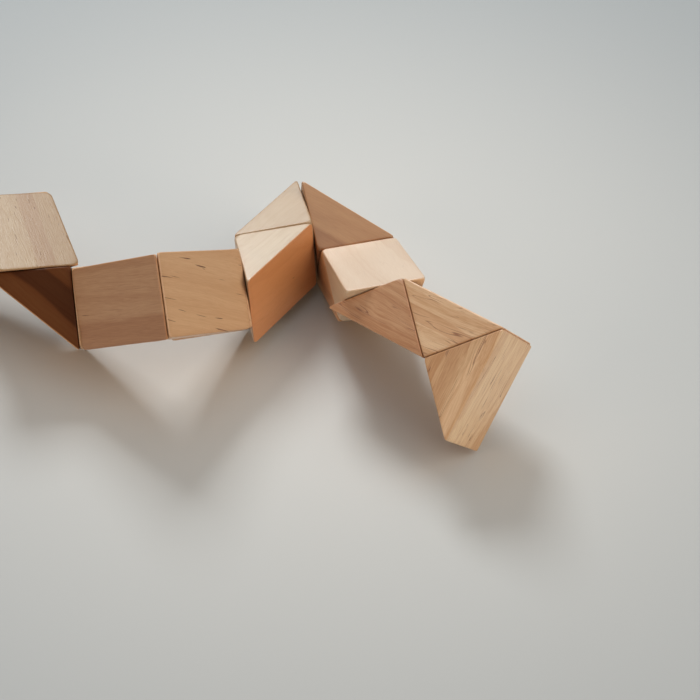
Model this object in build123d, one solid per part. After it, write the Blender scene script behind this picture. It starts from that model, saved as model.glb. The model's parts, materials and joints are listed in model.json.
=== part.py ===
"""Wooden snake puzzle: twenty-four wedges strung face to face on one elastic cord.

Every wedge is the same right-angled isosceles prism. Two neighbours meet at the centres of their
square faces, and one turns on the other about the line through those centres. The chain rests on a
table in a loose zigzag. The origin is under the middle of its bounding box, and +Z is up.
"""

import os
from math import cos, radians, sin, sqrt

from build123d import *

# --- driving dimensions, mm ---------------------------------------------------------------------
LEG = 25.0  # the two sides of the triangle that hold the right angle
THICKNESS = 24.0  # the prism's length, across the triangle
EDGE_RADIUS = 0.3  # sanded edges
FACE_GAP = 0.2  # running gap between two neighbours' square faces

CORD_DIAMETER = 2.4
CORD_BEND_RADIUS = 5.0
TURN_DEPTH = 2.5  # how far under a square face the cord's path turns
HOLE_DIAMETER = 3.4  # the slanting hole from one square face to the other
HOLE_OVERRUN = 1.0  # how far the drill runs into the counterbores
MOUTH_DIAMETER = 7.0  # counterbore at the centre of each square face
MOUTH_DEPTH = 2.5

POCKET_DIAMETER = 8.2  # wider, deeper counterbore at each end of the chain, for knot and plug
POCKET_DEPTH = 6.7
KNOT_DIAMETER = 5.0
KNOT_DEPTH = 4.0  # from the end face to the knot's centre
PLUG_LENGTH = 1.4

# The twist of each joint in degrees. 0 puts two wedges in a straight bar, and 180 puts their
# right-angled edges side by side, in one large triangle.
TWISTS = (
    180, 0, -57, 0, 88, -149, -1, 40, -2, 178, 2, -90,
    -72, -92, -90, -90, -90, 0, 90, 0, -90, -90, 0,
)

# The chain stands on three corners: (wedge number, corner of the triangle, end of the prism).
FEET = ((5, (LEG, 0), 1), (13, (0, LEG), -1), (22, (LEG, 0), 1))
HEADING = 14.7  # turns the chain's long way to the X axis, degrees about +Z

HALF_LEG = LEG / 2
HALF_GAP = FACE_GAP / 2
WEDGE_COUNT = len(TWISTS) + 1


# --- one wedge, in its own frame ----------------------------------------------------------------
# The right-angled edge lies along Z through the origin, and the legs run along +X and +Y. Face A is
# the square face at X = 0, and face B is the one at Y = 0.
def face_a(depth=0.0):
    """The plane under face A at a depth, centred, with +Z into the wedge."""
    return Plane(origin=(depth, HALF_LEG, 0), x_dir=(0, 1, 0), z_dir=(1, 0, 0))


def face_b(depth=0.0):
    """The plane under face B at a depth, centred, with +Z into the wedge."""
    return Plane(origin=(HALF_LEG, depth, 0), x_dir=(1, 0, 0), z_dir=(0, 1, 0))


def disc(face, diameter, length):
    """A cylinder that starts on a face and goes into the wedge."""
    base = (Align.CENTER, Align.CENTER, Align.MIN)
    return face * Cylinder(diameter / 2, length, align=base)


def end_recess(face, is_chain_end):
    """The counterbore in a square face: a shallow mouth, or the pocket at an end of the chain."""
    if is_chain_end:
        return disc(face, POCKET_DIAMETER, POCKET_DEPTH)
    return disc(face, MOUTH_DIAMETER, MOUTH_DEPTH)


def slanting_hole():
    """The drilled hole for the cord. It runs parallel to the long face, from recess to recess."""
    middle = (HALF_LEG + TURN_DEPTH) / 2
    length = (HALF_LEG - TURN_DEPTH) * sqrt(2) + 2 * HOLE_OVERRUN
    drill = Plane(origin=(middle, middle, 0), x_dir=(0, 0, 1), z_dir=(1, -1, 0))
    return drill * Cylinder(HOLE_DIAMETER / 2, length)


def make_wedge(is_head, is_tail):
    """A sanded, drilled wedge. The head has its pocket in face A, and the tail in face B."""
    triangle = make_face(Polyline((0, 0), (LEG, 0), (0, LEG), close=True))
    prism = extrude(triangle, THICKNESS / 2, both=True)
    sanded = fillet(prism.edges(), EDGE_RADIUS)
    return sanded - end_recess(face_a(), is_head) - end_recess(face_b(), is_tail) - slanting_hole()


# --- the cord and what ends it --------------------------------------------------------------------
def knot_centre(is_head):
    """A knot sits in the corner of its pocket, on the slanting hole's middle line."""
    along = HALF_LEG + TURN_DEPTH - KNOT_DEPTH
    return (KNOT_DEPTH, along) if is_head else (along, KNOT_DEPTH)


def make_knot(is_head):
    """The outer shape of a pulled-tight overhand knot."""
    return Pos(*knot_centre(is_head), 0) * Sphere(KNOT_DIAMETER / 2)


def make_plug(is_head):
    """The round wooden plug that closes a pocket, flush with the end face."""
    return disc(face_a() if is_head else face_b(), POCKET_DIAMETER, PLUG_LENGTH)


def cord_corners(is_head, is_tail):
    """The cord's middle line: in along one joint's axis, across the wedge, out along the next's."""
    way_in = [(-HALF_GAP, HALF_LEG), (TURN_DEPTH, HALF_LEG)]
    way_out = [(HALF_LEG, TURN_DEPTH), (HALF_LEG, -HALF_GAP)]
    if is_head:
        way_in = [knot_centre(True)]
    if is_tail:
        way_out = [knot_centre(False)]
    return way_in + way_out


def make_cord_length(is_head, is_tail):
    """The stretch of cord inside one wedge, from mid-gap or knot to mid-gap or knot."""
    path = FilletPolyline(*cord_corners(is_head, is_tail), radius=CORD_BEND_RADIUS)
    section = Plane(origin=path @ 0, z_dir=path % 0) * Circle(CORD_DIAMETER / 2)
    cord = sweep(section, path=path)
    if is_head or is_tail:
        cord -= make_knot(is_head)
    return cord


# --- the chain --------------------------------------------------------------------------------------
def next_frame(frame, twist):
    """The frame of the wedge whose face A meets this wedge's face B, turned by a twist."""
    turn = radians(twist)
    y_dir = frame.x_dir * -cos(turn) - frame.z_dir * sin(turn)
    z_dir = frame.x_dir * sin(turn) - frame.z_dir * cos(turn)
    joint = frame.origin + frame.x_dir * HALF_LEG - frame.y_dir * FACE_GAP
    return Plane(origin=joint - y_dir * HALF_LEG, x_dir=-frame.y_dir, z_dir=z_dir)


def chain_frames():
    """Every wedge's frame, from the head to the tail, with the first one at the world's origin."""
    frames = [Plane.XY]
    for twist in TWISTS:
        frames.append(next_frame(frames[-1], twist))
    return frames


def table_plane(frames):
    """The plane through the three feet, with the chain above it and X along the heading."""
    feet = [
        frames[number - 1].from_local_coords(Vector(*corner, end * THICKNESS / 2))
        for number, corner, end in FEET
    ]
    right, middle, left = feet
    up = (right - middle).cross(left - middle).normalized()
    along = (right - left).normalized().rotate(Axis((0, 0, 0), up), HEADING)
    return Plane(origin=middle, x_dir=along, z_dir=up)


def rest_locations(frames):
    """Each wedge's place on the table, with the origin under the middle of the bounding box."""
    to_table = table_plane(frames).location.inverse()
    on_table = [to_table * frame.location for frame in frames]
    blank = make_wedge(False, False)
    box = Compound([blank.moved(place) for place in on_table]).bounding_box()
    middle = box.center()
    shift = Pos(-middle.X, -middle.Y, -box.min.Z)
    return [shift * place for place in on_table]


def make_nodes():
    """Every node of the puzzle by name, in place."""
    nodes = {}
    for number, place in enumerate(rest_locations(chain_frames()), start=1):
        ends = (number == 1, number == WEDGE_COUNT)
        nodes[f"wedge_{number:02}"] = make_wedge(*ends).moved(place)
        nodes[f"cord_length_{number:02}"] = make_cord_length(*ends).moved(place)
        if any(ends):
            end_name = "head" if ends[0] else "tail"
            nodes[f"{end_name}_knot"] = make_knot(ends[0]).moved(place)
            nodes[f"{end_name}_plug"] = make_plug(ends[0]).moved(place)
    return nodes


def main():
    os.makedirs("parts", exist_ok=True)
    for name, shape in make_nodes().items():
        export_step(shape, f"parts/{name}.step")


if __name__ == "__main__":
    main()
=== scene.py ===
import json
import math
import random

import bmesh
import bpy
from mathutils import Matrix, Vector, noise

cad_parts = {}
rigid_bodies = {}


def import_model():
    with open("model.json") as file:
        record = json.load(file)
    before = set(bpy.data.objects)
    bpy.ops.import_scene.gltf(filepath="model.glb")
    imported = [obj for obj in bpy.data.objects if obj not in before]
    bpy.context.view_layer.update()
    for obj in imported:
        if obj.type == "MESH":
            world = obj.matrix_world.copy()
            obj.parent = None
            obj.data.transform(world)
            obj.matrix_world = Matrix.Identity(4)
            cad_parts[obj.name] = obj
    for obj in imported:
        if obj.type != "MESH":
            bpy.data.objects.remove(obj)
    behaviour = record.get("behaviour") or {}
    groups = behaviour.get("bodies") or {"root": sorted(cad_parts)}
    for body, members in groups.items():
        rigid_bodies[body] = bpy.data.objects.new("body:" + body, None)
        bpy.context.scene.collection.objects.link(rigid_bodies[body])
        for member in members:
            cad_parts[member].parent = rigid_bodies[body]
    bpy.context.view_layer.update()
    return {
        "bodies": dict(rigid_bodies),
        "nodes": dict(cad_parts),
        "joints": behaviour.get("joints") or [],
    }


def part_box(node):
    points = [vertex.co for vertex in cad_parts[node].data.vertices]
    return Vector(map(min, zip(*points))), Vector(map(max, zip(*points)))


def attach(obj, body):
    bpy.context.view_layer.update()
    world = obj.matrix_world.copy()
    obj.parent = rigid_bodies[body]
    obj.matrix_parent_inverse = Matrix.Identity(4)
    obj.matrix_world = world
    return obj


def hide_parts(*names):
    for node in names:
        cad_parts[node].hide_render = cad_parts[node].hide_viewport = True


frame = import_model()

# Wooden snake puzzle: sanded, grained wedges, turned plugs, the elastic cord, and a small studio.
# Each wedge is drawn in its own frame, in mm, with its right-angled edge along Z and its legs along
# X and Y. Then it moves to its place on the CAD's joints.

MM = 0.001

# --- the wedge's shape, mm -----------------------------------------------------------------------
FACE_GAP = 0.2
ROUND_RADIUS = 0.45  # along an edge
TIP_RADIUS = 0.3  # along the two thin edges of the long face
TIP_REACH = 5.0  # how far from a thin edge the rounding grows to its full radius
CORNER_CUT = 0.75  # how far a sharp corner is sanded back
CORNER_SOFTNESS = 0.3
CORNER_SPREAD = 0.25  # share by which one corner's sanding differs from another's
WOBBLE = 0.035  # the deepest dent of hand sanding
WOBBLE_LENGTH = 9.0
WOBBLE_STEP = (7.3, 3.1, 1.7)  # from one wedge's stretch of unevenness to the next's
NO_SANDING = -8  # this many softnesses short of a corner's cut, sanding no longer shows
NEAR_EDGE = (0.0, 0.13, 0.27, 0.43, 0.62, 0.86, 1.2, 1.7, 2.4, 3.6, 5.4)  # the mesh's lines
MID_LINE_SHARE = 0.34  # the mesh's next line, as a share of the edge's length
STEPS_PER_MM = 1e4  # two of the mesh's points in the same step are one
SHARP_ANGLE = math.radians(42)
EDGE_FADE = 0.7  # how soon the darker wood along an edge fades

HOLE_DIAMETER = 3.4
MOUTH_DIAMETER = 7.0
MOUTH_DEPTH = 2.5
POCKET_DEPTH = 6.7
TURN_DEPTH = 2.5
CUT_OVERRUN = 1.0  # how far a cutter runs on past the wood
SLIVER = 1e-4  # a cut's faces thinner than this are taken out
MOUTH_SIDES = 48
HOLE_SIDES = 24

# --- the plugs -----------------------------------------------------------------------------------
PLUG_CLEARANCE = 0.05
PLUG_CHAMFER = 0.3
PLUG_DOME = 0.08
DOME_STEPS = ((0.4, 0.2), (0.75, 0.6))  # shares of the plug's radius, and of the dome there
CHAMFER_STEP = (0.3, 0.5)  # the broken edge's middle, as shares of the chamfer in and down
PLUG_SIDES = 72

# --- the camera ----------------------------------------------------------------------------------
AIM = Vector((0.0929, -0.0268, 0.0))
DISTANCE = 0.427
AZIMUTH = math.radians(-1.61)
ELEVATION = math.radians(45.74)
ROLL = math.radians(2.247)
LENS = 70.39
SENSOR = 36.0

# --- the lights: azimuth and elevation in degrees, size in m, power in W, tint --------------------
# Azimuth 0 is the viewer's side, and 90 the right-hand side.
LAMPS = {
    "window": (196, 45, 0.45, 8.6, (0.95, 1.0, 1.02)),
    "ceiling": (180, 84, 2.4, 8.4, (0.92, 1.0, 1.05)),
    "fill": (65, 40, 1.0, 4.6, (1.0, 0.87, 0.72)),
    "low_right": (45, 16, 0.7, 2.2, (1.0, 0.8, 0.6)),
    "low_left": (300, 20, 0.7, 2.8, (1.0, 0.8, 0.62)),
}
LIT_POINT = Vector((0.08, 0.0, 0.0))
LAMP_DISTANCE = 1.2
ROOM_TINT = (1.0, 0.97, 0.93, 1.0)
ROOM_STRENGTH = 0.02

WEDGE_COUNT = len(frame["bodies"])


# --- where each wedge lies -----------------------------------------------------------------------
def joint_points():
    """Each joint's place and axis, by its number along the chain."""
    found = {}
    for joint in frame["joints"]:
        number = int(joint["name"].split("_")[1])
        found[number] = (Vector(joint["pos_m"]), Vector(joint["axis"]))
    return found


def box_centre(node):
    """The middle of a CAD node's box."""
    low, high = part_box(node)
    return (low + high) / 2


def wedge_frames():
    """Every wedge's matrix by its number, and the length of a leg in mm."""
    joints = joint_points()
    half_gap = FACE_GAP / 2 * MM
    leg = 0.0
    frames = {}
    for number in range(1, WEDGE_COUNT + 1):
        into, out = joints.get(number - 1), joints.get(number)
        if into and out:
            across = out[0] - into[0]
            x_dir = into[1] * math.copysign(1, across.dot(into[1]))
            y_dir = -out[1] * math.copysign(1, across.dot(out[1]))
            leg = 2 * across.dot(x_dir) - FACE_GAP * MM
        elif out:
            across = box_centre("head_plug") - out[0]
            y_dir = out[1] * math.copysign(1, across.dot(out[1]))
            x_dir = -(across - y_dir * across.dot(y_dir)).normalized()
        else:
            across = box_centre("tail_plug") - into[0]
            x_dir = into[1] * math.copysign(1, across.dot(into[1]))
            y_dir = -(across - x_dir * across.dot(x_dir)).normalized()
        frames[number] = (into, out, x_dir.normalized(), y_dir.normalized())
    placed = {}
    for number, (into, out, x_dir, y_dir) in frames.items():
        if into:
            origin = into[0] + x_dir * half_gap - y_dir * leg / 2
        else:
            origin = out[0] + y_dir * half_gap - x_dir * leg / 2
        turned = Matrix((x_dir, y_dir, x_dir.cross(y_dir))).transposed()
        placed[number] = Matrix.Translation(origin) @ turned.to_4x4()
    return placed, leg / MM


PLACES, LEG = wedge_frames()


def extent(node, axis):
    """How far a CAD node of the first wedge reaches along an axis of that wedge, mm."""
    inward = PLACES[1].inverted()
    places = [(inward @ vertex.co)[axis] for vertex in frame["nodes"][node].data.vertices]
    return (max(places) - min(places)) / MM


THICKNESS = extent("wedge_01", 2)
PLUG_RADIUS = extent("head_plug", 2) / 2
PLUG_LENGTH = extent("head_plug", 0)
INRADIUS = LEG * (2 - math.sqrt(2)) / 2
HALF_LEG = LEG / 2


# --- the wedge's mesh ----------------------------------------------------------------------------
def stops(length):
    """Places along an edge, close together near its ends."""
    near = [*NEAR_EDGE, length * MID_LINE_SHARE]
    return near + [length / 2] + [length - step for step in reversed(near)]


def shared(verts, index, point):
    """The number of the vertex at a point. Faces that meet share their vertices."""
    key = tuple(round(c * STEPS_PER_MM) for c in point)
    if key not in index:
        index[key] = len(verts)
        verts.append(Vector(point))
    return index[key]


def add_side(verts, faces, index, outline, heights, flip):
    """One four-sided face as a grid of quads that rises along Z from a line of (x, y) points."""
    for here, there in zip(outline, outline[1:]):
        for low, high in zip(heights, heights[1:]):
            corners = [(*here, low), (*there, low), (*there, high), (*here, high)]
            ring = [shared(verts, index, corner) for corner in corners]
            faces.append(ring[::-1] if flip else ring)


def triangle_rim(legs):
    """The triangle's outline, point by point, anticlockwise from the right angle."""
    rim = [(s, 0.0) for s in legs[:-1]]
    rim += [(LEG - s, s) for s in legs[:-1]]
    rim += [(0.0, LEG - s) for s in legs[:-1]]
    return rim


def add_triangle(verts, faces, index, legs, height, flip):
    """One triangular face as rings round its incentre."""
    rim = triangle_rim(legs)
    shares = [1 - step / INRADIUS for step in NEAR_EDGE if step < INRADIUS]
    rings = []
    for share in shares:
        scaled = [
            (INRADIUS + (x - INRADIUS) * share, INRADIUS + (y - INRADIUS) * share, height)
            for x, y in rim
        ]
        rings.append([shared(verts, index, point) for point in scaled])
    middle = shared(verts, index, (INRADIUS, INRADIUS, height))
    count = len(rim)
    for outer, inner in zip(rings, rings[1:]):
        for k in range(count):
            quad = [outer[k], outer[(k + 1) % count], inner[(k + 1) % count], inner[k]]
            faces.append(quad[::-1] if flip else quad)
    for k in range(count):
        fan = [rings[-1][k], rings[-1][(k + 1) % count], middle]
        faces.append(fan[::-1] if flip else fan)


def sharp_prism():
    """The unsanded wedge's vertices and faces, fine enough near the edges to be rounded."""
    legs = stops(LEG)
    heights = [z - THICKNESS / 2 for z in stops(THICKNESS)]
    face_a = [(0.0, s) for s in legs]
    face_b = [(s, 0.0) for s in legs]
    long_face = [(LEG - s, s) for s in legs]
    verts, faces, index = [], [], {}
    for outline, flip in ((face_a, True), (face_b, False), (long_face, False)):
        add_side(verts, faces, index, outline, heights, flip)
    add_triangle(verts, faces, index, legs, THICKNESS / 2, False)
    add_triangle(verts, faces, index, legs, -THICKNESS / 2, True)
    return verts, faces


def nearest_on_segment(point, start, end):
    """The nearest point of a line from start to end."""
    along = end - start
    share = (point - start).dot(along) / along.length_squared
    return start + along * min(1.0, max(0.0, share))


def nearest_in_triangle(point, corners):
    """The nearest point of a filled triangle that has corners in anticlockwise order."""
    sides = list(zip(corners, corners[1:] + corners[:1]))
    outside = [(end - start).cross(point - start) < 0 for start, end in sides]
    if not any(outside):
        return point
    options = [nearest_on_segment(point, start, end) for start, end in sides]
    return min(options, key=lambda option: (point - option).length)


def rounded(point):
    """Moves a point of the sharp prism onto the same prism with rounded edges."""
    from_tip = min(math.hypot(point.x - LEG, point.y), math.hypot(point.x, point.y - LEG))
    radius = TIP_RADIUS + (ROUND_RADIUS - TIP_RADIUS) * min(1.0, from_tip / TIP_REACH)
    share = 1 - radius / INRADIUS
    centre = Vector((INRADIUS, INRADIUS))
    outline = [Vector((0, 0)), Vector((LEG, 0)), Vector((0, LEG))]
    corners = [centre + (corner - centre) * share for corner in outline]
    flat = nearest_in_triangle(Vector((point.x, point.y)), corners)
    limit = THICKNESS / 2 - radius
    core = Vector((flat.x, flat.y, min(limit, max(-limit, point.z))))
    return core + (point - core).normalized() * radius


def corner_list(chance, wear):
    """Each of the six corners: its place, its outward direction and its own depth of sanding."""
    found = []
    centre = Vector((INRADIUS, INRADIUS))
    for flat in ((0, 0), (LEG, 0), (0, LEG)):
        outward = (Vector(flat) - centre).normalized()
        for side in (1, -1):
            direction = Vector((outward.x, outward.y, side)).normalized()
            place = Vector((*flat, side * THICKNESS / 2))
            depth = CORNER_CUT * wear * (1 + CORNER_SPREAD * chance.uniform(-1, 1))
            found.append((place, direction, depth))
    return found


def sanded(point, corners):
    """Presses a point in under the sanded corners."""
    for place, direction, depth in corners:
        over = ((point - place).dot(direction) + depth) / CORNER_SOFTNESS
        if over > NO_SANDING:
            point = point - direction * CORNER_SOFTNESS * math.log1p(math.exp(over))
    return point


def wobbled(point, number):
    """A slow unevenness, as hand sanding leaves. It only takes wood away."""
    start = Vector([number * step for step in WOBBLE_STEP])
    dent = (noise.noise(point / WOBBLE_LENGTH + start) + 1) / 2
    middle = Vector((INRADIUS, INRADIUS, 0))
    return point - (point - middle).normalized() * dent * WOBBLE


def new_mesh(name, verts, faces):
    """A mesh from points in mm."""
    mesh = bpy.data.meshes.new(name)
    mesh.from_pydata([v * MM for v in verts], [], faces)
    mesh.update()
    return mesh


def cylinder(name, start, end, radius, sides):
    """A closed cylinder between two points, for cutting a hole."""
    shape = bmesh.new()
    along = end - start
    turn = along.to_track_quat("Z", "Y").to_matrix().to_4x4()
    place = Matrix.Translation((start + end) / 2 * MM) @ turn
    bmesh.ops.create_cone(
        shape, cap_ends=True, segments=sides, radius1=radius * MM, radius2=radius * MM,
        depth=along.length * MM, matrix=place,
    )
    mesh = bpy.data.meshes.new(name)
    shape.to_mesh(mesh)
    shape.free()
    return link(name, mesh)


def link(name, mesh):
    """A new object in the scene."""
    piece = bpy.data.objects.new(name, mesh)
    bpy.context.scene.collection.objects.link(piece)
    return piece


def hole_cutters(number):
    """The mouths in the square faces and the slanting hole between them."""
    face_a = (Vector((0, HALF_LEG, 0)), Vector((1, 0, 0)), number == 1)
    face_b = (Vector((HALF_LEG, 0, 0)), Vector((0, 1, 0)), number == WEDGE_COUNT)
    cutters = []
    for middle, inward, is_end in (face_a, face_b):
        depth = POCKET_DEPTH if is_end else MOUTH_DEPTH
        radius = PLUG_RADIUS if is_end else MOUTH_DIAMETER / 2
        start = middle - inward * CUT_OVERRUN
        cutters.append(cylinder("cutter", start, middle + inward * depth, radius, MOUTH_SIDES))
    near, far = TURN_DEPTH - CUT_OVERRUN, HALF_LEG + CUT_OVERRUN
    start, end = Vector((near, far, 0)), Vector((far, near, 0))
    cutters.append(cylinder("cutter", start, end, HOLE_DIAMETER / 2, HOLE_SIDES))
    return cutters


def cut(piece, cutters):
    """Cuts holes in a piece, and leaves a plain mesh."""
    for cutter in cutters:
        step = piece.modifiers.new("cut", "BOOLEAN")
        step.operation = "DIFFERENCE"
        step.solver = "EXACT"
        step.object = cutter
    view = bpy.context.evaluated_depsgraph_get()
    mesh = bpy.data.meshes.new_from_object(piece.evaluated_get(view))
    piece.modifiers.clear()
    piece.data = mesh
    for cutter in cutters:
        bpy.data.objects.remove(cutter)


def clear_slivers(mesh):
    """Takes out faces without area, which a cut leaves where a rim crosses the mesh's lines."""
    shape = bmesh.new()
    shape.from_mesh(mesh)
    bmesh.ops.dissolve_degenerate(shape, dist=SLIVER * MM, edges=shape.edges)
    shape.to_mesh(mesh)
    shape.free()


def depth_below_long_face(point):
    """How deep a point lies under the long face."""
    return (LEG - point.x - point.y) / math.sqrt(2)


def edge_nearness(point):
    """1 on an edge of the prism, and towards 0 away from every edge."""
    gaps = sorted([
        abs(point.x), abs(point.y), abs(depth_below_long_face(point)),
        abs(THICKNESS / 2 - abs(point.z)),
    ])
    return math.exp(-gaps[1] / EDGE_FADE)


def store_grain(piece, wood):
    """Stores each vertex's place in the board and in the wedge, for the wood material."""
    to_board = board_matrix(wood)
    points = [vertex.co / MM for vertex in piece.data.vertices]
    spots = [(depth_below_long_face(p), p.z, edge_nearness(p)) for p in points]
    store(piece.data, [to_board @ point for point in points], spots)


def store(mesh, places, spots):
    """Keeps two vectors with every vertex: "grain" is its place in the board, and "spot" is its
    depth below the long face, its place along the prism and its nearness to an edge."""
    for name, vectors in (("grain", places), ("spot", spots)):
        mesh.attributes.new(name, "FLOAT_VECTOR", "POINT")
        flat = [part for vector in vectors for part in vector]
        mesh.attributes[name].data.foreach_set("vector", flat)


def board_matrix(wood):
    """From the wedge to its board. The board's X runs along the fibres, and its heart is on X."""
    along = Vector((1, -1, 0)).normalized()
    across = Vector((1, 1, 0)).normalized()
    upright = Vector((0, 0, 1))
    axes = Matrix((along, across, upright)).to_4x4()
    lean = Matrix.Rotation(math.radians(wood["lean"]), 4, "Z")
    tilt = Matrix.Rotation(math.radians(wood["tilt"]), 4, "Y")
    turn = Matrix.Rotation(math.radians(wood["turn"]), 4, "X")
    away = Matrix.Translation((wood["start"], wood["heart"], 0))
    return away @ turn @ tilt @ lean @ axes


# --- materials -----------------------------------------------------------------------------------
class Nodes:
    """A short way to write a node tree."""

    def __init__(self, name):
        self.material = bpy.data.materials.new(name)
        self.material.use_nodes = True
        self.tree = self.material.node_tree
        self.tree.nodes.clear()

    def add(self, kind, inputs=None, **settings):
        """A node with its settings, and with a value or a link at each named input."""
        node = self.tree.nodes.new(kind)
        for key, value in settings.items():
            setattr(node, key, value)
        for key, value in (inputs or {}).items():
            self.feed(node.inputs[key], value)
        return node

    def feed(self, socket, value):
        if isinstance(value, bpy.types.NodeSocket):
            self.tree.links.new(value, socket)
        else:
            socket.default_value = value

    def math(self, operation, a, b=0.0, c=0.0, clamp=False):
        """One sum on plain numbers."""
        node = self.add("ShaderNodeMath", {0: a, 1: b, 2: c}, operation=operation, use_clamp=clamp)
        return node.outputs[0]

    def vector(self, operation, a, b=(0, 0, 0)):
        """One sum on vectors."""
        return self.add("ShaderNodeVectorMath", {0: a, 1: b}, operation=operation).outputs[0]

    def split(self, vector):
        """A vector's three parts."""
        return self.add("ShaderNodeSeparateXYZ", {0: vector}).outputs

    def scaled(self, place, scale, shift=(0, 0, 0)):
        """A place for a pattern: scaled, then shifted."""
        return self.vector("ADD", self.vector("MULTIPLY", place, scale), shift)

    def noise(self, vector, detail=2.0, rough=0.5):
        """Cloudy noise, as a number and as a colour."""
        inputs = {"Vector": vector, "Scale": 1.0, "Detail": detail, "Roughness": rough}
        return self.add("ShaderNodeTexNoise", inputs).outputs

    def noise_along(self, value, scale, shift, detail):
        """Noise that changes along one number only."""
        place = self.math("MULTIPLY_ADD", value, scale, shift)
        inputs = {"W": place, "Scale": 1.0, "Detail": detail}
        return self.add("ShaderNodeTexNoise", inputs, noise_dimensions="1D").outputs[0]

    def remap(self, value, low, high):
        """0 at low and 1 at high, with a smooth rise between."""
        inputs = {"Value": value, "From Min": low, "From Max": high}
        return self.add("ShaderNodeMapRange", inputs, interpolation_type="SMOOTHSTEP").outputs[0]

    def mix(self, share, a, b, blend="MIX"):
        """Colour a, with a share of colour b over it."""
        node = self.add("ShaderNodeMix", data_type="RGBA", blend_type=blend)
        self.feed(node.inputs[0], share)
        self.feed(node.inputs[6], a)
        self.feed(node.inputs[7], b)
        return node.outputs[2]

    def bump(self, height, strength, distance):
        """A surface direction for fine relief."""
        inputs = {"Strength": strength, "Distance": distance, "Height": height}
        return self.add("ShaderNodeBump", inputs).outputs[0]

    def surface(self, **inputs):
        """The finished material."""
        shader = self.add("ShaderNodeBsdfPrincipled")
        for key, value in inputs.items():
            self.feed(shader.inputs[key.replace("_", " ")], value)
        self.add("ShaderNodeOutputMaterial", {"Surface": shader.outputs[0]})
        return self.material


def colour(red, green, blue):
    """A colour given as it looks on a screen, in 0 to 255, for a node."""
    linear = [((c / 255 + 0.055) / 1.055) ** 2.4 for c in (red, green, blue)]
    return (*linear, 1.0)


# --- the wood's colours and patterns: lengths in mm, scales per mm along and across the fibres ---
PALE = colour(232, 192, 148)
BAND = colour(198, 144, 96)
LINE = colour(140, 80, 46)
FLECK = colour(96, 46, 26)
RIM = colour(196, 134, 82)
FLECK_SHARE = 0.85  # how far a fleck covers the wood
RIM_SHARE = 0.35
LONG_FACE_DEPTHS = (0.45, 0.1)  # from where to where the long face's tone, with its painted light and shade, sets in

DRIFT_SCALE = (0.035, 0.12, 0.12)
DRIFT_REACH = (0, 3.2, 3.2)  # how far the fibres stray sideways
RING_DRIFT_SCALE = 0.3
RING_DRIFT = 2.2  # how unevenly the rings follow each other, in rings
LATE_WOOD_START = (0.45, 0.93)  # shares of a ring where its dark wood grows in
LATE_WOOD_END = (1.0, 0.94)
BAND_SCALE = 0.17
BAND_LEVELS = (0.42, 0.6)
FIBRE_SCALE = (0.16, 4.2, 4.2)
FIBRE_LEVELS = (0.3, 0.72)
LINE_SCALE = (0.018, 0.6, 0.6)
LINE_SHIFT = 5  # sets this pattern apart from the others
LINE_LEVELS = (0.016, 0.002)  # a line runs where slow noise crosses its middle value
PATCH_SCALE = (0.12, 0.3, 0.3)  # the lines show only in patches
PATCH_LEVELS = (0.46, 0.62)
FLECK_SHIFT = 9
FLECK_SOFTNESS = 0.05
STRIPE_WAVER = 1.5  # how much more than the fibres a stripe strays
STRIPE_CORE = 0.75  # share of a stripe's half width with its full tone

WOOD_ROUGHNESS = 0.36
FIBRE_ROUGHNESS = 0.12
FLECK_ROUGHNESS = 0.2
FIBRE_HEIGHT = 0.35
LINE_HEIGHT = -0.5
FLECK_HEIGHT = -0.9
WOOD_BUMP = {"strength": 0.6, "distance": 0.00006}
WOOD_IOR = 1.55
WAX_ROUGHNESS = 0.42
WAX_IOR = 1.7


def stray(n, board):
    """How far the fibres have strayed from straight lines."""
    drift = n.noise(n.vector("MULTIPLY", board, DRIFT_SCALE))["Color"]
    return n.vector("MULTIPLY", n.vector("SUBTRACT", drift, (0.5, 0.5, 0.5)), DRIFT_REACH)


def heart_distance(n, fibre_place):
    """The distance from the tree's heart, which lies on the board's X."""
    _, across, up = n.split(fibre_place)
    squares = n.math("ADD", n.math("MULTIPLY", across, across), n.math("MULTIPLY", up, up))
    return n.math("SQRT", squares)


def late_wood(n, radius, wood):
    """The darker part of each growth ring."""
    drift = n.noise_along(radius, RING_DRIFT_SCALE, wood["seed"], detail=1.0)
    rings = n.math("DIVIDE", radius, wood["spacing"])
    ring = n.math("FRACT", n.math("MULTIPLY_ADD", drift, RING_DRIFT, rings))
    return n.math("MULTIPLY", n.remap(ring, *LATE_WOOD_START), n.remap(ring, *LATE_WOOD_END))


def thin_lines(n, board, fibre_place, seed):
    """Long thin lines along the fibres, in patches."""
    place = n.scaled(fibre_place, LINE_SCALE, (seed, LINE_SHIFT, seed))
    contour = n.noise(place, detail=1.0)[0]
    off_line = n.math("ABSOLUTE", n.math("SUBTRACT", contour, 0.5))
    patchy = n.noise(n.vector("MULTIPLY", board, PATCH_SCALE))[0]
    return n.math("MULTIPLY", n.remap(off_line, *LINE_LEVELS), n.remap(patchy, *PATCH_LEVELS))


def short_flecks(n, fibre_place, wood):
    """Short dark flecks along the fibres."""
    shift = (wood["seed"], FLECK_SHIFT, wood["seed"])
    pores = n.noise(n.scaled(fibre_place, wood["fleck_scale"], shift), detail=1.0)[0]
    return n.remap(pores, wood["fleck_level"], wood["fleck_level"] + FLECK_SOFTNESS)


def stripe_painted_shading(n, tint, across, waver, painted_shading_stripes, share):
    """A tint with stripes of painted light and shade over it. A stripe is its middle, its half
    width and its tone.
    """
    for middle, half_width, tone_and_painted_light in painted_shading_stripes:
        off = n.math("ABSOLUTE", n.math("SUBTRACT", n.math("ADD", across, waver), middle))
        stripe = n.remap(off, half_width, half_width * STRIPE_CORE)
        toned = n.mix(1.0, tint, (*tone_and_painted_light, 1.0), blend="MULTIPLY")
        tint = n.mix(n.math("MULTIPLY", stripe, share), tint, toned)
    return tint


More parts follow.
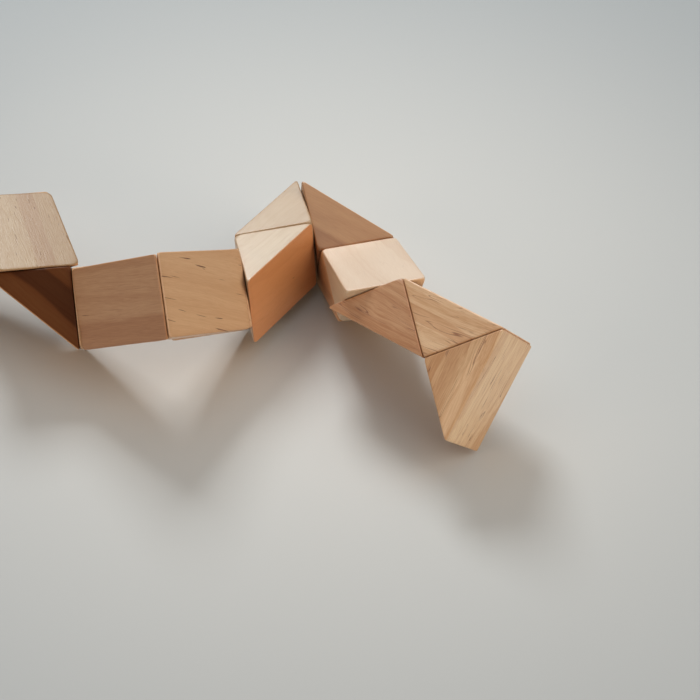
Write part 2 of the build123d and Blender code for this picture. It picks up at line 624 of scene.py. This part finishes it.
def wood_material(name, wood):
    """Beech: growth rings, broad bands, fine fibres, thin red-brown lines and short dark flecks."""
    n = Nodes(name)
    board = n.add("ShaderNodeAttribute", attribute_name="grain").outputs["Vector"]
    spot = n.add("ShaderNodeAttribute", attribute_name="spot").outputs["Vector"]
    depth, along, edge = n.split(spot)
    seed = wood["seed"]

    strayed = stray(n, board)
    fibre_place = n.vector("ADD", board, strayed)
    radius = heart_distance(n, fibre_place)
    late = late_wood(n, radius, wood)
    band = n.remap(n.noise_along(radius, BAND_SCALE, seed * 3, detail=2.0), *BAND_LEVELS)
    place = n.scaled(fibre_place, FIBRE_SCALE, (seed, seed, 0))
    fibre = n.remap(n.noise(place, detail=4.0, rough=0.6)[0], *FIBRE_LEVELS)
    line = thin_lines(n, board, fibre_place, seed)
    fleck = short_flecks(n, fibre_place, wood)

    dark = n.math("MULTIPLY", late, wood["rings"])
    dark = n.math("MULTIPLY_ADD", band, wood["bands"], dark)
    dark = n.math("MULTIPLY_ADD", fibre, wood["fibres"], dark, clamp=True)
    tint = n.mix(dark, PALE, BAND)
    tint = n.mix(n.math("MULTIPLY", line, wood["lines"]), tint, LINE)
    tint = n.mix(n.math("MULTIPLY", fleck, FLECK_SHARE), tint, FLECK)
    tint = n.mix(n.math("MULTIPLY", edge, RIM_SHARE), tint, RIM)

    # Painted light and shade: each wedge's tones, on its long face and on its other faces, and its
    # stripes paint sheen, shade and cast shadows.
    on_long = n.remap(depth, *LONG_FACE_DEPTHS)
    off_long = n.math("SUBTRACT", 1.0, on_long)
    tone_and_painted_light = n.mix(on_long, (*wood["tone_and_painted_light"], 1.0), (*wood["long_face_tone_and_painted_light"], 1.0))
    tint = n.mix(1.0, tint, tone_and_painted_light, blend="MULTIPLY")
    waver = n.math("MULTIPLY", n.split(strayed)[1], STRIPE_WAVER)
    tint = stripe_painted_shading(n, tint, depth, waver, wood["painted_shading_stripes"], off_long)
    tint = stripe_painted_shading(n, tint, along, waver, wood["painted_shading_long_stripes"], on_long)

    rough = n.math("MULTIPLY_ADD", fibre, FIBRE_ROUGHNESS, WOOD_ROUGHNESS)
    rough = n.math("MULTIPLY_ADD", fleck, FLECK_ROUGHNESS, rough)
    height = n.math("MULTIPLY_ADD", line, LINE_HEIGHT, n.math("MULTIPLY", fibre, FIBRE_HEIGHT))
    height = n.math("MULTIPLY_ADD", fleck, FLECK_HEIGHT, height)
    relief = n.bump(height, **WOOD_BUMP)
    return n.surface(
        Base_Color=tint, Roughness=rough, Normal=relief, IOR=WOOD_IOR,
        Specular_IOR_Level=wood["shine"], Coat_Weight=wood["wax"],
        Coat_Roughness=WAX_ROUGHNESS, Coat_IOR=WAX_IOR, Coat_Normal=relief,
    )


# --- the cord's braid, scales per m ---------------------------------------------------------------
BRAID_SCALE = 1900.0
BRAID_DARK_AND_GROOVE_SHADE = colour(120, 108, 98)
BRAID_PALE = colour(226, 222, 214)
BRAID_BUMP = {"strength": 0.5, "distance": 0.0001}
BRAID_ROUGHNESS = 0.7
FUZZ_ROUGHNESS = 0.2


def cord_material():
    """Braided elastic: pale threads that cross, with painted shade in the grooves between them."""
    n = Nodes("braided_elastic")
    place = n.add("ShaderNodeTexCoord").outputs["Object"]
    place = n.vector("MULTIPLY", place, (BRAID_SCALE, BRAID_SCALE, BRAID_SCALE))
    inputs = {"Vector": place, "Scale": 0.6, "Distortion": 1.5, "Detail": 1.0}
    wave = n.add("ShaderNodeTexWave", inputs, bands_direction="DIAGONAL").outputs[1]
    fuzz = n.noise(place, detail=3.0)[0]
    # Painted shade: the colour darkens where the wave sinks into the grooves between the threads,
    # and in cloudy patches of the fuzz.
    tint = n.mix(n.math("MULTIPLY", wave, fuzz), BRAID_DARK_AND_GROOVE_SHADE, BRAID_PALE)
    rough = n.math("MULTIPLY_ADD", fuzz, FUZZ_ROUGHNESS, BRAID_ROUGHNESS)
    return n.surface(Base_Color=tint, Roughness=rough, Normal=n.bump(wave, **BRAID_BUMP))


# --- each wedge's wood, and the light and shade painted on it ------------------------------------
def plain_wood(chance):
    """A board with nothing special about it, a little different from the next one.

    The angles turn the wedge in its board. The start and heart place it there, mm. The tones
    multiply the colour and carry painted light and shade: long_face_tone_and_painted_light on
    the long face and tone_and_painted_light on the others. The painted shading stripes lie at
    depths below the long face, and the painted shading long stripes at places along the prism, mm.
    """
    return {
        "turn": chance.uniform(0, 180), "lean": chance.uniform(-4, 4),
        "tilt": chance.uniform(-3, 3), "start": chance.uniform(-400, 400),
        "heart": chance.uniform(28, 70), "seed": chance.uniform(0, 50),
        "spacing": chance.uniform(1.8, 3.4), "rings": 0.18, "bands": 0.3, "fibres": 0.3,
        "lines": 0.15, "fleck_level": 0.8, "wear": 1.0, "wax": 0.4, "shine": 0.5,
        "fleck_scale": (0.16, 3.0, 3.0),
        "tone_and_painted_light": (1.0, 0.95, 0.9), "long_face_tone_and_painted_light": (1.0, 0.95, 0.9), "painted_shading_stripes": (), "painted_shading_long_stripes": (),
    }


# What the wedges in the photo have of their own, by the wedge's number: some real differences of
# their wood, and tones and stripes that paint light and shade on them, such as a sheen on tops,
# shade on faces turned from the lamps, and cast shadows.
SPECIAL = {
    # Wedge 1: the paler, cooler long face paints the light of the lamp on the right, and the
    # stripes paint a lighter and a darker band.
    1: {"turn": 35, "lines": 1.0, "rings": 0.35, "bands": 0.4, "wear": 0.6, "fleck_level": 0.9,
        "tone_and_painted_light": (0.98, 0.98, 0.98), "long_face_tone_and_painted_light": (1.2, 1.38, 1.56), "fibres": 0.55,
        "painted_shading_stripes": ((1.5, 2.6, (1.12, 1.15, 1.2)), (9.0, 3.0, (0.88, 0.8, 0.74)))},
    2: {"turn": 50, "lines": 0.75, "rings": 0.3, "bands": 0.4, "wear": 0.6, "fleck_level": 0.9,
        "tone_and_painted_light": (1.12, 1.2, 1.32), "long_face_tone_and_painted_light": (1.2, 1.27, 1.4), "fibres": 0.5,
        "painted_shading_stripes": ((7.5, 2.0, (0.85, 0.74, 0.66)),)},
    3: {"turn": 60, "lines": 0.8, "rings": 0.3, "bands": 0.4, "wear": 0.7, "fleck_level": 0.9,
        "tone_and_painted_light": (0.82, 0.72, 0.7), "fibres": 0.6},
    # Wedge 4: the pale, cool tones paint the sheen of the back light on its top.
    4: {"wear": 1.4, "rings": 0.12, "bands": 0.1, "fibres": 0.12, "lines": 0.1,
        "tone_and_painted_light": (1.1, 1.35, 1.7), "long_face_tone_and_painted_light": (1.1, 1.3, 1.75)},
    # Wedge 6: the darker tone paints the shade on its face, and the stripe is a darker band of
    # painted shade near its right-angled edge.
    6: {"rings": 0.12, "bands": 0.2, "fibres": 0.35, "lines": 0.2, "tone_and_painted_light": (0.61, 0.49, 0.38),
        "painted_shading_stripes": ((15.5, 4.5, (0.82, 0.74, 0.66)),)},
    # Wedge 7: the pale, cool tone paints the sheen on its top.
    7: {"rings": 0.12, "bands": 0.12, "fibres": 0.15, "lines": 0.05, "wax": 0.25,
        "tone_and_painted_light": (0.66, 0.71, 0.76)},
    # Wedge 8: the pale, cool tone paints the sheen on its top face, and the darker orange long face
    # paints its shade.
    8: {"wear": 1.2, "rings": 0.12, "bands": 0.1, "fibres": 0.15, "lines": 0.05,
        "tone_and_painted_light": (0.76, 0.86, 0.98), "long_face_tone_and_painted_light": (0.98, 0.66, 0.46)},
    10: {"lean": 0, "tilt": 12, "fleck_level": 0.68, "fleck_scale": (0.08, 1.8, 1.8),
         "rings": 0.1, "bands": 0.15, "lines": 0.05, "long_face_tone_and_painted_light": (0.94, 0.92, 0.94)},
    # Wedge 11: the darker long face and its stripe paint the shade on the side turned away from the
    # lamp on the right.
    11: {"fleck_level": 0.78, "rings": 0.1, "bands": 0.2, "fibres": 0.5,
         "long_face_tone_and_painted_light": (0.76, 0.64, 0.58), "painted_shading_long_stripes": ((-9.0, 4.5, (0.86, 0.76, 0.66)),)},
    # Wedge 13: the very dark tone paints the shade under wedge 14, and the stripe is a painted
    # shadow of wedge 14's corner.
    13: {"tone_and_painted_light": (0.2, 0.11, 0.065), "wax": 0.0, "shine": 0.1,
         "painted_shading_stripes": ((9.2, 4.6, (0.55, 0.5, 0.5)),)},
    # Wedge 14: the greyer, less orange long face paints its sheen, and the long stripe is a darker
    # painted band.
    14: {"wear": 1.5, "fleck_level": 0.73, "rings": 0.08, "bands": 0.2, "wax": 0.15,
         "long_face_tone_and_painted_light": (0.53, 0.52, 0.44), "painted_shading_long_stripes": ((2.7, 2.7, (0.9, 0.8, 0.68)),)},
}


PLUG_WOOD = {"tone_and_painted_light": (0.86, 0.8, 0.74), "spacing": 1.2, "heart": 7.0, "bands": 0.2}
PLUG_EDGE_FADE = 0.3


def settle(piece, place, material):
    """Moves a finished mesh to its place, and gives it its shading and its material."""
    mesh = piece.data
    mesh.transform(place)
    mesh.polygons.foreach_set("use_smooth", [True] * len(mesh.polygons))
    mesh.set_sharp_from_angle(angle=SHARP_ANGLE)
    mesh.materials.clear()
    mesh.materials.append(material)


def make_wedge(number):
    """One wedge as its own piece, in place of the CAD one."""
    node = f"wedge_{number:02d}"
    chance = random.Random(number)
    wood = plain_wood(chance)
    wood.update(SPECIAL.get(number, {}))
    verts, faces = sharp_prism()
    corners = corner_list(chance, wood["wear"])
    verts = [wobbled(sanded(rounded(point), corners), number) for point in verts]
    piece = link(f"sanded_{node}", new_mesh(node, verts, faces))
    cut(piece, hole_cutters(number))
    clear_slivers(piece.data)
    store_grain(piece, wood)
    settle(piece, PLACES[number], wood_material(f"beech_{number:02d}", wood))
    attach(piece, node)
    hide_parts(node)


def plug_profile(radius):
    """A plug's outline from the middle of its outer face: the faint dome, the broken edge, and the
    inner end."""
    dome = [(radius * out, PLUG_DOME * down) for out, down in DOME_STEPS]
    step_in, step_down = CHAMFER_STEP
    edge = [
        (radius - PLUG_CHAMFER, PLUG_DOME),
        (radius - PLUG_CHAMFER * step_in, PLUG_CHAMFER * step_down),
        (radius, PLUG_CHAMFER),
    ]
    inner_end = [(radius, PLUG_LENGTH), (radius / 2, PLUG_LENGTH), (0.0, PLUG_LENGTH)]
    return [(0.0, 0.0), *dome, *edge, *inner_end]


def make_plug(name, node, number, into):
    """A turned plug, flush in its pocket. Its fibres run along its axis, like a dowel's."""
    radius = PLUG_RADIUS - PLUG_CLEARANCE
    verts, faces = lathe(plug_profile(radius), PLUG_SIDES)
    piece = link(name, new_mesh(name, verts, faces))
    wood = plain_wood(random.Random(name))
    wood.update(PLUG_WOOD)
    points = [vertex.co / MM for vertex in piece.data.vertices]
    places = [(p.z + wood["start"], p.x + wood["heart"], p.y) for p in points]
    rims = [math.exp((math.hypot(p.x, p.y) - radius) / PLUG_EDGE_FADE) for p in points]
    store(piece.data, places, [(HALF_LEG, p.y, rim) for p, rim in zip(points, rims)])
    axis = into.to_track_quat("Z", "Y").to_matrix().to_4x4()
    middle = HALF_LEG * MM
    seat = Vector((0, middle, 0)) if into.x else Vector((middle, 0, 0))
    place = PLACES[number] @ Matrix.Translation(seat) @ axis
    settle(piece, place, wood_material(f"beech_{name}", wood))
    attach(piece, f"wedge_{number:02d}")
    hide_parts(node)


def lathe(profile, sides):
    """Turns a profile of (radius, height) pairs about Z into vertices and faces."""
    verts, faces, rings = [], [], []
    for radius, height in profile:
        if radius == 0:
            rings.append([len(verts)] * sides)
            verts.append(Vector((0, 0, height)))
            continue
        rings.append(list(range(len(verts), len(verts) + sides)))
        for k in range(sides):
            angle = 2 * math.pi * k / sides
            verts.append(Vector((radius * math.cos(angle), radius * math.sin(angle), height)))
    for lower, upper in zip(rings, rings[1:]):
        for k in range(sides):
            nxt = (k + 1) % sides
            ring = [lower[k], lower[nxt], upper[nxt], upper[k]]
            faces.append(list(dict.fromkeys(ring)))
    return verts, faces


def dress_cords():
    """The CAD cord lengths and knots keep their shapes and get the braided material."""
    braid = cord_material()
    for name, node in frame["nodes"].items():
        if "cord" in name or "knot" in name:
            node.data.materials.clear()
            node.data.materials.append(braid)


# --- studio --------------------------------------------------------------------------------------
# Painted light on the floor: a pool of light under the object that falls off to grey further out.
FLOOR_PAINTED_POOL = colour(216, 215, 212)
FLOOR_PAINTED_FALLOFF = colour(168, 172, 174)
PAINTED_FALLOFF_REACH = 0.28  # m
PAINTED_POOL_MIDDLE = (0.077, -0.002, 0.0)
FLOOR_HALF = 3.0
FLOOR_ROUGHNESS = 0.85
TOOTH_SCALE = 900.0  # the paper's tooth, per m
TOOTH_BUMP = {"strength": 0.15, "distance": 0.0001}


def floor_material():
    """Matt paper with a painted pool of light: palest under the object and greyer further out, a
    painted falloff of the light.
    """
    n = Nodes("pale_paper_with_painted_light_pool")
    place = n.add("ShaderNodeTexCoord").outputs["Object"]
    fine_place = n.vector("MULTIPLY", place, (TOOTH_SCALE, TOOTH_SCALE, TOOTH_SCALE))
    tooth = n.bump(n.noise(fine_place, detail=3.0)[0], **TOOTH_BUMP)
    inputs = {0: place, 1: PAINTED_POOL_MIDDLE}
    out = n.add("ShaderNodeVectorMath", inputs, operation="DISTANCE").outputs[1]
    # Painted light: the pool's colour fades to the grey of the falloff with distance from its
    # middle.
    tint = n.mix(n.remap(out, 0.0, PAINTED_FALLOFF_REACH), FLOOR_PAINTED_POOL, FLOOR_PAINTED_FALLOFF)
    return n.surface(Base_Color=tint, Roughness=FLOOR_ROUGHNESS, Normal=tooth)


def make_floor():
    """A plain floor at the table's height."""
    shape = bmesh.new()
    bmesh.ops.create_grid(shape, x_segments=4, y_segments=4, size=FLOOR_HALF)
    mesh = bpy.data.meshes.new("floor")
    shape.to_mesh(mesh)
    shape.free()
    mesh.materials.append(floor_material())
    link("floor", mesh)


def outwards(around, up):
    """The direction at an azimuth and elevation, both in radians."""
    return Vector((
        math.sin(around) * math.cos(up), -math.cos(around) * math.cos(up), math.sin(up),
    ))


def lamp(name, azimuth, elevation, size, power, tint):
    """A round soft box that points at the object."""
    light = bpy.data.lights.new(name, "AREA")
    light.shape = "DISK"
    light.size = size
    light.energy = power
    light.color = tint
    holder = bpy.data.objects.new(name, light)
    bpy.context.scene.collection.objects.link(holder)
    back = outwards(math.radians(azimuth), math.radians(elevation))
    holder.location = LIT_POINT + back * LAMP_DISTANCE
    holder.rotation_mode = "QUATERNION"
    holder.rotation_quaternion = (-back).to_track_quat("-Z", "Y")


def make_lights():
    """The lamps, and a faint light from the room."""
    for name, settings in LAMPS.items():
        lamp(name, *settings)
    world = bpy.data.worlds.new("room")
    world.use_nodes = True
    background = world.node_tree.nodes["Background"]
    background.inputs[0].default_value = ROOM_TINT
    background.inputs[1].default_value = ROOM_STRENGTH
    bpy.context.scene.world = world
    bpy.context.scene.view_settings.view_transform = "Standard"


def make_camera():
    """The camera at the photograph's angle."""
    data = bpy.data.cameras.new("camera")
    data.lens = LENS
    data.sensor_width = SENSOR
    data.dof.use_dof = False
    camera = bpy.data.objects.new("camera", data)
    bpy.context.scene.collection.objects.link(camera)
    back = outwards(AZIMUTH, ELEVATION)
    camera.location = AIM + back * DISTANCE
    camera.rotation_mode = "QUATERNION"
    level = (-back).to_track_quat("-Z", "Y")
    camera.rotation_quaternion = level @ Matrix.Rotation(ROLL, 3, "Z").to_quaternion()
    bpy.context.scene.camera = camera


make_camera()
for wedge_number in range(1, WEDGE_COUNT + 1):
    make_wedge(wedge_number)
make_plug("turned_head_plug", "head_plug", 1, Vector((1, 0, 0)))
make_plug("turned_tail_plug", "tail_plug", WEDGE_COUNT, Vector((0, 1, 0)))
dress_cords()
make_floor()
make_lights()
